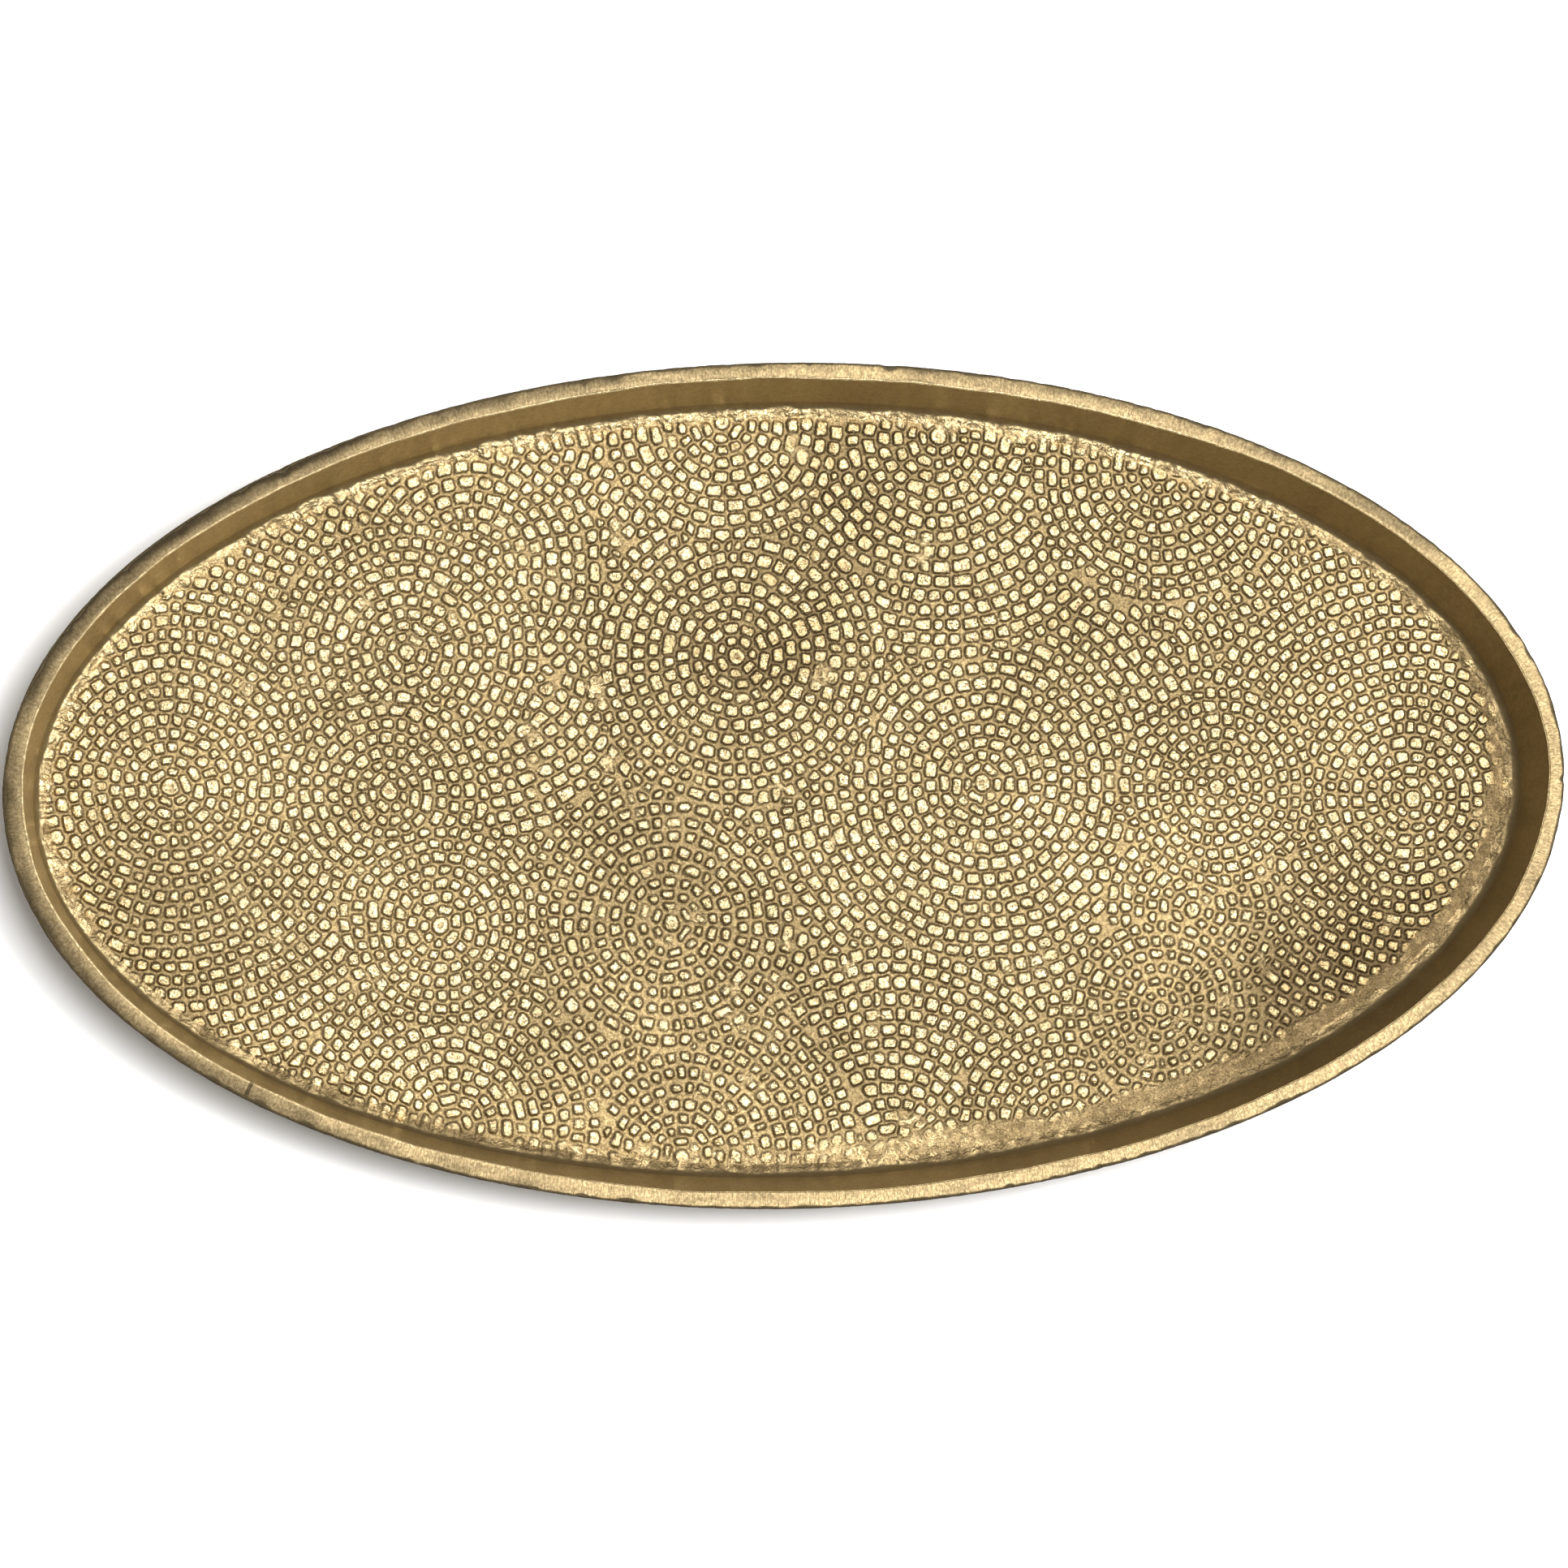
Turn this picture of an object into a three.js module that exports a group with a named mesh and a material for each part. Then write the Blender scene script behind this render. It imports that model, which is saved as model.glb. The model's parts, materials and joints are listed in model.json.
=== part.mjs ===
// Oval cast tray: one heavy casting on four glued rubber feet.
// Millimetres, +Z up. The origin is the middle of the plane that the feet stand on,
// with the tray's length along X and its front towards -Y.
import * as THREE from 'three';

// Driving dimensions
const LENGTH = 465; // rim to rim, along X
const WIDTH = 250; // rim to rim, along Y
const HEIGHT = 25; // from the foot plane to the top of the rim
const RIM_WIDTH = 4.8; // flat land on top of the wall
const FLOOR_THICKNESS = 3.5; // underside to the plane of the tile tops
const INNER_DRAFT = THREE.MathUtils.degToRad(18); // lean of the wall's inner face
const OUTER_DRAFT = THREE.MathUtils.degToRad(14); // lean of the wall's outer face
const COVE_RADIUS = 4.5; // between the inner wall and the floor
const HEEL_RADIUS = 3; // between the outer wall and the underside
const OUTER_CHAMFER = 0.8; // dressed outer edge of the rim
const INNER_CHAMFER = 0.3; // dressed inner edge of the rim

const FOOT_DIAMETER = 18;
const FOOT_HEIGHT = 2.2;
const FOOT_EDGE = 0.5; // bevel around both faces of a foot
const GLUE_GAP = 0.3; // glue film between a foot and the casting
const FOOT_X = 150; // foot centres, from the middle of the tray
const FOOT_Y = 62;

// How finely the round shapes are divided
const OVAL_SEGMENTS = 96;
const FOOT_SEGMENTS = 32;
const HEEL_STEPS = 4;
const COVE_STEPS = 6;

// Levels worked out from the dimensions above
const UNDERSIDE_Z = FOOT_HEIGHT + GLUE_GAP;
const FLOOR_Z = UNDERSIDE_Z + FLOOR_THICKNESS;
const CHAMFER_Z = HEIGHT - OUTER_CHAMFER;

// The casting's section is drawn as a round dish of this radius, then spread onto the oval.
const SECTION_RADIUS = WIDTH / 2;

const brass = new THREE.MeshStandardMaterial({ color: 0xb9975b, roughness: 0.38, metalness: 1 });
const rubber = new THREE.MeshStandardMaterial({ color: 0x1c1a18, roughness: 0.85, metalness: 0 });

// A point of the section: how far inside the outer edge, and how high.
function sectionPoint(inset, z) {
  return new THREE.Vector2(SECTION_RADIUS - inset, z);
}

// Points on a rounded corner. Angle 0 is straight down and a right angle points outwards.
function sectionArc(centreInset, centreZ, radius, fromAngle, toAngle, steps) {
  return Array.from({ length: steps + 1 }, (_, step) => {
    const angle = THREE.MathUtils.lerp(fromAngle, toAngle, step / steps);
    return sectionPoint(centreInset - radius * Math.sin(angle), centreZ - radius * Math.cos(angle));
  });
}

// The casting's closed section: from the middle of the underside, out and over the wall,
// and back to the middle of the floor.
function castingSection() {
  const heelZ = UNDERSIDE_Z + HEEL_RADIUS;
  const heelInset = HEEL_RADIUS / Math.cos(OUTER_DRAFT) + (CHAMFER_Z - heelZ) * Math.tan(OUTER_DRAFT);
  const coveZ = FLOOR_Z + COVE_RADIUS;
  const wallFootInset = RIM_WIDTH + (HEIGHT - coveZ) * Math.tan(INNER_DRAFT);
  const coveInset = wallFootInset + COVE_RADIUS / Math.cos(INNER_DRAFT);
  return [
    new THREE.Vector2(0, UNDERSIDE_Z),
    ...sectionArc(heelInset, heelZ, HEEL_RADIUS, 0, Math.PI / 2 - OUTER_DRAFT, HEEL_STEPS),
    sectionPoint(0, CHAMFER_Z),
    sectionPoint(OUTER_CHAMFER, HEIGHT),
    sectionPoint(RIM_WIDTH, HEIGHT),
    sectionPoint(RIM_WIDTH + INNER_CHAMFER, HEIGHT - 2 * INNER_CHAMFER),
    ...sectionArc(coveInset, coveZ, COVE_RADIUS, Math.PI / 2 - INNER_DRAFT, 0, COVE_STEPS),
    new THREE.Vector2(0, FLOOR_Z),
  ];
}

// The point of the oval outline at an angle, moved squarely inwards by the inset.
function ovalPoint(angle, inset) {
  const outward = new THREE.Vector2(Math.cos(angle) / LENGTH, Math.sin(angle) / WIDTH).normalize();
  const outline = new THREE.Vector2((LENGTH / 2) * Math.cos(angle), (WIDTH / 2) * Math.sin(angle));
  return outline.addScaledVector(outward, -inset);
}

// Turns a round dish about Y into an oval one about Z, with the wall equally thick all round.
function spreadOntoOval(dish) {
  const position = dish.getAttribute('position');
  for (let i = 0; i < position.count; i++) {
    const radius = Math.hypot(position.getX(i), position.getZ(i));
    const angle = Math.atan2(position.getX(i), position.getZ(i));
    const place = radius > 0 ? ovalPoint(angle, SECTION_RADIUS - radius) : new THREE.Vector2(0, 0);
    position.setXYZ(i, place.x, place.y, position.getY(i));
  }
  dish.computeVertexNormals();
  return dish;
}

function trayCasting() {
  const dish = new THREE.LatheGeometry(castingSection(), OVAL_SEGMENTS);
  const casting = new THREE.Mesh(spreadOntoOval(dish), brass.clone());
  casting.name = 'tray_casting';
  return casting;
}

// A bevelled disc whose lower face is the face that the tray stands on.
function foot(name, x, y) {
  const radius = FOOT_DIAMETER / 2;
  const profile = [
    new THREE.Vector2(0, 0),
    new THREE.Vector2(radius - FOOT_EDGE, 0),
    new THREE.Vector2(radius, FOOT_EDGE),
    new THREE.Vector2(radius, FOOT_HEIGHT - FOOT_EDGE),
    new THREE.Vector2(radius - FOOT_EDGE, FOOT_HEIGHT),
    new THREE.Vector2(0, FOOT_HEIGHT),
  ];
  const disc = new THREE.LatheGeometry(profile, FOOT_SEGMENTS).rotateX(Math.PI / 2);
  const mesh = new THREE.Mesh(disc, rubber.clone());
  mesh.name = name;
  mesh.position.set(x, y, 0);
  return mesh;
}

const tray = new THREE.Group();
tray.add(trayCasting());
for (const [row, y] of [['front', -FOOT_Y], ['back', FOOT_Y]]) {
  for (const [side, x] of [['left', -FOOT_X], ['right', FOOT_X]]) {
    tray.add(foot(`foot_${row}_${side}`, x, y));
  }
}

export default tray;
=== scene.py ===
# The looks of an oval cast brass tray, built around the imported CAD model.
# Shapes are worked out in millimetres in the CAD's own frame, and scaled to metres as they become meshes.
import json
import math

import bpy
import numpy as np
from mathutils import Matrix, Vector


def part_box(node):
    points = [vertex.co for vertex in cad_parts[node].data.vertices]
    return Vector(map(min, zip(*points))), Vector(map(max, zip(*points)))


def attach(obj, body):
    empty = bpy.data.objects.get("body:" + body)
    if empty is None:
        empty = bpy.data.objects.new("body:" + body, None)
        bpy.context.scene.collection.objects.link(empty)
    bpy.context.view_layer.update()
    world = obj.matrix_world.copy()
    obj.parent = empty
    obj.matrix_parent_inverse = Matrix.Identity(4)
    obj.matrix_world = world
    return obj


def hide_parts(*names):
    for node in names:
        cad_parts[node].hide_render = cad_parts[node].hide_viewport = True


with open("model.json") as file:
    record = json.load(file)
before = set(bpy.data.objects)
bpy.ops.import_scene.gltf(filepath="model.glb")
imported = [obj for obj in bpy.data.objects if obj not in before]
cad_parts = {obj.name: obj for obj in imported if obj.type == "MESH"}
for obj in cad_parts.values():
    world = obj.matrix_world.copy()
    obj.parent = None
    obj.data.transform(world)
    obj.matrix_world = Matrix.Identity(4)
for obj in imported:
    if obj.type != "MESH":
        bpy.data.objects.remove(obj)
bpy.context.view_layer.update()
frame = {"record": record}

MM = 0.001
FEET = ("foot_front_left", "foot_front_right", "foot_back_left", "foot_back_right")


def box_mm(node):
    """A CAD node's lowest and highest corners, in millimetres."""
    low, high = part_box(node)
    return Vector(low) / MM, Vector(high) / MM


def mount_height_mm(name):
    mounts = {mount["name"]: mount for mount in frame["record"]["mounts"]}
    return mounts[name]["pos_m"][2] / MM


CASTING_LOW, CASTING_HIGH = box_mm("tray_casting")
HALF_LENGTH = (CASTING_HIGH.x - CASTING_LOW.x) / 2
HALF_WIDTH = (CASTING_HIGH.y - CASTING_LOW.y) / 2
RIM_Z = CASTING_HIGH.z
UNDERSIDE_Z = CASTING_LOW.z
TILE_TOP_Z = mount_height_mm("serving_floor")

# The wall's section, as in the CAD
RIM_WIDTH = 4.8
INNER_DRAFT = math.radians(18)
OUTER_DRAFT = math.radians(14)
COVE_RADIUS = 4.5
HEEL_RADIUS = 3.0
OUTER_CHAMFER = 0.8
COVE_Z = TILE_TOP_Z + COVE_RADIUS
COVE_INSET = RIM_WIDTH + (RIM_Z - COVE_Z) * math.tan(INNER_DRAFT) + COVE_RADIUS / math.cos(INNER_DRAFT)
HEEL_Z = UNDERSIDE_Z + HEEL_RADIUS
CHAMFER_Z = RIM_Z - OUTER_CHAMFER
HEEL_INSET = (CHAMFER_Z - HEEL_Z) * math.tan(OUTER_DRAFT) + HEEL_RADIUS / math.cos(OUTER_DRAFT)
FLOOR_HALF_LENGTH = HALF_LENGTH - COVE_INSET
FLOOR_HALF_WIDTH = HALF_WIDTH - COVE_INSET

# The mosaic: each rosette's centre, the reach of its rings and their spacing. Later ones lie on top.
ROSETTES = (
    (-182, 5, 80, 4.1),
    (113, 35, 50, 4.1),
    (190, -7, 72, 4.1),
    (60, 1, 69, 4.4),
    (50, 104, 65, 4.4),
    (28, -110, 62, 4.3),
    (117, 92, 41, 4.1),
    (-69, 102, 57, 4.5),
    (-34, -108, 54, 4.3),
    (-102, -97, 46, 4.3),
    (-91, 46, 51, 4.5),
    (-92, 68, 42, 4.4),
    (-111, 43, 39, 4.1),
    (-118, 2, 30, 4.1),
    (-13, 40, 44, 4.4),
    (-14, 110, 37, 4.4),
    (82, -103, 35, 4.0),
    (122, -39, 28, 4.0),
    (111, -68, 27, 4.0),
    (-104, -38, 30, 4.0),
    (131, -2, 30, 4.0),
    (-35, -39, 38, 4.4),
)
# Where the floor is browner or brighter than elsewhere: centre, radius and change in tarnish, with painted
# light among them
TONE_AND_HIGHLIGHT_SPOTS = (
    (-5, 48, 34, 0.45),
    (185, -55, 36, 0.5),
    (-110, 30, 30, 0.15),
    (25, 88, 26, 0.25),
    (75, 90, 50, 0.18),
    (-195, -35, 30, 0.15),
    (214, 5, 26, 0.35),
    (150, -80, 26, 0.3),
    # a painted highlight, where the key light's reflection falls
    (112, -32, 34, -0.5),
    # painted light, brightening the left end where the lamps light the floor less
    (-150, -10, 60, -0.12),
    (-20, -85, 40, -0.2),
    (20, 5, 40, -0.2),
)
TILE_HEIGHT = 0.95  # from the joints to the tile tops
TILE_ASPECT = 1.06  # a tile's length along its ring over the ring spacing, on average
INNER_RING_WIDTH = 3.3  # of a rosette's first ring
BUTTON_RADIUS = 3.0  # of the round tile at a rosette's centre
DIMPLE_RADIUS = 0.8
DIMPLE_DEPTH = 0.4
RING_JOINT = 0.78  # between one ring and the next
CROSS_JOINT = 0.62  # between neighbours in a ring
SMOOTH_END_ANGLE = math.radians(38)  # clockwise from the right end, to the middle of the smoothest stretch
SMOOTH_WIDTH = 6.5  # of the bare border there
MELT_WIDTH = 2.6  # of the band beside the cove where the tiles run together
SOFT_STRETCH_ANGLE = math.radians(96)  # clockwise from the right end, to the middle of a softer stretch
SOFT_WIDTH = 9.0  # of the band there
RIDGE_BLUR = 0.35  # how far the band's ridges are smoothed
RIDGE_BASE, SMOOTH_HEIGHT = 0.15, 0.46  # over the tile height: under the ridges, and of the bare border

# How the tiles vary
RING_OVERRUN = 1.6  # how far rings are drawn, over the rosette's reach
RING_WIDENING = 0.07  # growth of a ring's width for each millimetre from the centre
RING_VARIATION = (0.95, 1.05)  # of its width
FEWEST_IN_RING = 6
COUNT_VARIATION = (0.92, 1.1)
SHARE_SPREAD, SMALLEST_SHARE, LARGEST_SHARE = 0.14, 0.7, 1.4  # of a tile's length over its ring's average
FLOOR_OVERLAP = 1.01  # how far tiles may be centred past the floor's edge, as a ratio squared
CROWDING = 0.58  # tiles of two rosettes that are closer than this share of their sizes crowd each other
SMALLEST_GAP, LARGEST_FILLER, MOST_FILLERS = 1.35, 2.3, 400
FILLED_SHARE = 0.8  # of the gaps between rosettes
FILLER_STRETCH, FILLER_ROUNDNESS = (1.0, 1.25), 0.9
SIZE_VARIATION = (0.95, 1.05)
ROUNDNESS = (0.45, 0.95)  # of a tile's corners, from square to fully round at 1
PLACE_ERROR, TURN_ERROR = 0.09, 0.05  # deviations, in millimetres and radians
TOP_LEVELS, LEVEL_CHANCES = (1.0, 0.93, 0.86, 0.6), (0.4, 0.35, 0.21, 0.04)
SLIVER_AREA, SLIVER_HEIGHT = 2.2, 0.2  # tiles smaller than this area hardly rise
SIDE_WIDTHS = (0.48, 0.62)  # of the sloping sides of crisp tiles
SOFT_SIDE_EXTRA, SOFT_PATCH_SIZE = 0.6, 70  # how much wider sides are in soft patches, and the patches' size
SIDE_SPILL = 0.1  # how far the sides start outside a tile's edge

# Unevenness, as layers of height and size in millimetres
SKIN_LAYERS = ((0.05, 1.0), (0.03, 2.4), (0.1, 30))
COVE_CRINKLE = ((0.1, 1.2), (0.08, 2.6))
COVE_WOBBLE = (0.6, 5)  # of the line where the tiles start to run together
TARNISH_LAYERS = ((0.1, 40), (0.05, 12))  # the height is a change in tarnish here
MELTED_CRINKLE = (0.24, 1.1)
# Where the metal ran together: the spots' size, rarity and fade, and how far they fill the joints
MELTED_SPOTS = ((4.5, 1.8, 0.5, 0.5), (8, 2.3, 0.4, 0.62))
MELTED_HEIGHT = 0.5  # of the filled metal there, over the tile height
BORDER_PAINTED_SHADE = 0.45  # how much painted shade a border in shade adds to the joint-colour and tarnish values
LEFT_END_X, LEFT_END_FADE = -40, 120  # where tile sides start to look paler, with less painted shade, and over what distance

# Unevenness round the wall, as layers of height, then size in rings and in points, or number of lumps
COVE_ROUGHNESS = ((0.12, 2, 3), (0.2, 5, 9))
WALL_LUMPS = ((0.07, 10, 60), (0.015, 4, 9))
OUTSIDE_ROUGHNESS = ((0.09, 2, 3), (0.12, 8, 24))
RIM_EDGE_WAVES = ((0.16, 26), (0.16, 70), (0.05, 240))

# Values of the plain sand-cast surfaces, and two small distances at the rim
SAND_CAST = {"hollow": 0.4, "tarnish": 0.6}
INNER_BEVEL = 0.1  # half the width of the fine bevel inside the land
LAND_SINK = 0.01  # of the land under the CAD's top

# The cup under a foot: share of the foot's radius, and height
FOOT_CUP = ((0.0, 0.25), (0.3, 0.25), (0.42, 0.2), (0.5, 0.03), (0.55, 0.0), (0.9, 0.0))
FOOT_EDGE_RADIUS = 0.5

# Colours, as linear red, green, blue and alpha
TILE_BROWN = (0.5, 0.375, 0.185, 1)
TILE_BRIGHT = (0.8, 0.67, 0.4, 1)
CRINKLE_BROWN = (0.36, 0.25, 0.11, 1)
JOINT_BROWN = (0.12, 0.085, 0.042, 1)
JOINT_TAN = (0.55, 0.42, 0.208, 1)
GRAIN_BROWN = (0.16, 0.11, 0.05, 1)
# The tiles' dark sides: partly patina, partly painted shade for the dark surroundings that steep sides
# reflect
FLANK_BLACK = (0.04, 0.026, 0.012, 1)
FLANK_BROWN = (0.13, 0.09, 0.04, 1)
# The wall's band colours are kept dark as a painted reflection of dark surroundings; the bands themselves
# are faint upright streaks
WALL_DARK_BAND = (0.275, 0.208, 0.105, 1)
WALL_PALE_BAND = (0.35, 0.27, 0.14, 1)
# the wall's painted shade
WALL_PAINTED_SHADE = (0.085, 0.062, 0.03, 1)
LAND_BRIGHT = (0.29, 0.22, 0.115, 1)
LAND_DULL = (0.21, 0.155, 0.078, 1)
# colour of the land's stains and of the painted shade on the rim
LAND_STAIN_AND_SHADE = (0.06, 0.045, 0.025, 1)
RUBBER_BLACK = (0.018, 0.017, 0.016, 1)
RUBBER_DUSTY = (0.045, 0.042, 0.038, 1)
STAGE_GREY = (0.8, 0.8, 0.8, 1)
WALL_SHARE = 0.85  # how far the wall's own look covers the casting's

# Sizes in the casting's material, in metres
GRAIN_SIZE = 0.0008
CRINKLE_SIZE = 0.0016
SKIN_SIZE = 0.0018
SKIN_DEPTH = 0.0011

# Each softbox: name, place and aim, width and depth, all in metres, and power in watts
SOFTBOXES = (
    ("key_softbox", (0.24, 0.04, 0.8), (0.08, -0.02, 0), 0.36, 0.3, 5.5),
    ("overhead_softbox", (0.95, 0.3, 4.0), (0.1, 0, 0), 2.6, 2.75, 290),
    ("side_softbox", (-1.5, 0.6, 0.75), (-0.1, 0, 0), 0.9, 0.6, 7),
)
CAMERA_DISTANCE = 2.6  # in metres
LEAN_LEFT, LEAN_FRONT, ROLL = math.radians(8.7), math.radians(4.7), math.radians(1.33)
FRAME_OVER_TRAY = 0.992  # the picture's width over the tray's length, which the lean shortens

# How finely the meshes are divided
CANVAS_PITCH = 0.3
FLOOR_COLUMNS, FLOOR_ROWS = 1216, 608
UNDERSIDE_COLUMNS, UNDERSIDE_ROWS = FLOOR_COLUMNS // 8, FLOOR_ROWS // 8

rng = np.random.default_rng(21)


# ---------------------------------------------------------------- noise and small helpers


def smoothstep(value):
    value = np.clip(value, 0, 1)
    return value * value * (3 - 2 * value)


def lump_noise(shape, scale_rows, scale_columns=None):
    """Smooth random lumps of about the given size in grid steps, with mean 0 and deviation 1."""
    scale_columns = scale_columns or scale_rows
    rows = np.fft.fftfreq(shape[0])[:, None] * scale_rows
    columns = np.fft.rfftfreq(shape[1])[None, :] * scale_columns
    spectrum = np.fft.rfft2(rng.standard_normal(shape)) * np.exp(-4 * (rows**2 + columns**2))
    lumps = np.fft.irfft2(spectrum, shape)
    return (lumps - lumps.mean()) / lumps.std()


def ring_noise(count, lumps):
    """Smooth random waves around a ring of so many points, with about so many lumps in all."""
    return lump_noise((1, count), 1, count / lumps)[0]


def ring_waves(count, layers):
    """Ring noises added together. Each layer is its height and its number of lumps."""
    return sum(height * ring_noise(count, lumps) for height, lumps in layers)


def band_waves(rings, count, layers):
    """Noises added over a band of rings. Each layer is its height and its size in rings and in points."""
    return sum(height * lump_noise((rings, count), down, along) for height, down, along in layers)


def ring_shares(rings):
    """How far across its band each ring lies, from just past 0 to 1, as a column."""
    return np.linspace(0, 1, rings + 1)[1:, None]


def oval_points(angle, inset):
    """x and y of the outline at these angles, moved squarely inwards by the inset."""
    across, along = np.cos(angle) / HALF_LENGTH, np.sin(angle) / HALF_WIDTH
    steepness = np.hypot(across, along)
    x = HALF_LENGTH * np.cos(angle) - inset * across / steepness
    y = HALF_WIDTH * np.sin(angle) - inset * along / steepness
    return x, y


# ---------------------------------------------------------------- the mosaic floor


def rosette_owner(x, y):
    """Each point's rosette: the last one that reaches it, or else the nearest in proportion."""
    ratios = np.array([np.hypot(x - cx, y - cy) / reach for cx, cy, reach, _ in ROSETTES])
    owner = ratios.argmin(axis=0)
    for index, ratio in enumerate(ratios):
        owner[ratio < 1] = index
    return owner


def rosette_tiles(cx, cy, reach, spacing):
    """Rings of tiles round a centre. Each row is x, y, direction, half radial size and half length."""
    tiles = [(cx, cy, 0.0, BUTTON_RADIUS, BUTTON_RADIUS)]
    radius = BUTTON_RADIUS
    while radius < RING_OVERRUN * reach:
        width = min(spacing, INNER_RING_WIDTH + RING_WIDENING * radius) * rng.uniform(*RING_VARIATION)
        middle = radius + width / 2
        around = 2 * math.pi * middle
        count = max(FEWEST_IN_RING, round(around / (TILE_ASPECT * spacing) / rng.uniform(*COUNT_VARIATION)))
        shares = np.clip(rng.normal(1, SHARE_SPREAD, count), SMALLEST_SHARE, LARGEST_SHARE)
        shares *= 2 * math.pi / shares.sum()
        angles = np.cumsum(shares) - shares / 2 + rng.uniform(0, 2 * math.pi)
        for angle, share in zip(angles, shares):
            x = cx + middle * math.cos(angle)
            y = cy + middle * math.sin(angle)
            tiles.append((x, y, angle, width / 2, share * middle / 2))
        radius += width
    return np.array(tiles)


def mosaic_tiles():
    """Every tile of the floor, with its rosette's number in the last column."""
    fields = []
    for index, rosette in enumerate(ROSETTES):
        tiles = rosette_tiles(*rosette)
        x, y = tiles[:, 0], tiles[:, 1]
        inside = (x / FLOOR_HALF_LENGTH) ** 2 + (y / FLOOR_HALF_WIDTH) ** 2 < FLOOR_OVERLAP
        kept = tiles[inside & (rosette_owner(x, y) == index)]
        fields.append(np.column_stack([kept, np.full(len(kept), index)]))
    return without_crowding(np.vstack(fields[::-1]))


def without_crowding(tiles):
    """Leaves out each tile that crowds one of a rosette lying over its own."""
    keep = np.ones(len(tiles), bool)
    for i, (x, y, _, half_radial, _, rosette) in enumerate(tiles):
        if keep[i]:
            distance = np.hypot(tiles[i:, 0] - x, tiles[i:, 1] - y)
            crowded = distance < CROWDING * (half_radial + tiles[i:, 3])
            keep[i:][crowded & (tiles[i:, 5] != rosette)] = False
    return tiles[keep]


class Canvas:
    """A fine square grid over the floor that the mosaic is worked out on."""

    def __init__(self):
        margin = 2.0
        self.x = np.arange(-FLOOR_HALF_LENGTH - margin, FLOOR_HALF_LENGTH + margin, CANVAS_PITCH)
        self.y = np.arange(-FLOOR_HALF_WIDTH - margin, FLOOR_HALF_WIDTH + margin, CANVAS_PITCH)
        self.shape = (len(self.y), len(self.x))

    def noise(self, millimetres):
        return lump_noise(self.shape, millimetres / CANVAS_PITCH)

    def add_noise(self, picture, layers):
        """The picture with noises added. Each layer is its height and its size in millimetres."""
        for height, millimetres in layers:
            picture = picture + height * self.noise(millimetres)
        return picture

    def blurred(self, picture, millimetres):
        """The picture smoothed over about this distance."""
        rows = np.fft.fftfreq(self.shape[0])[:, None]
        columns = np.fft.rfftfreq(self.shape[1])[None, :]
        reach = math.pi * millimetres / CANVAS_PITCH
        spread = np.exp(-2 * reach**2 * (rows**2 + columns**2))
        return np.fft.irfft2(np.fft.rfft2(picture) * spread, self.shape)

    def window(self, x, y, reach):
        """The slice of the grid within reach of a point."""
        columns = np.searchsorted(self.x, (x - reach, x + reach))
        rows = np.searchsorted(self.y, (y - reach, y + reach))
        return np.s_[rows[0] : rows[1], columns[0] : columns[1]]

    def sample(self, picture, x, y):
        """The picture's values at scattered points, read between its grid points."""
        column = (x - self.x[0]) / CANVAS_PITCH
        row = (y - self.y[0]) / CANVAS_PITCH
        c, r = column.astype(int), row.astype(int)
        right, up = column - c, row - r
        lower = picture[r, c] * (1 - right) + picture[r, c + 1] * right
        upper = picture[r + 1, c] * (1 - right) + picture[r + 1, c + 1] * right
        return lower * (1 - up) + upper * up


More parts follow.
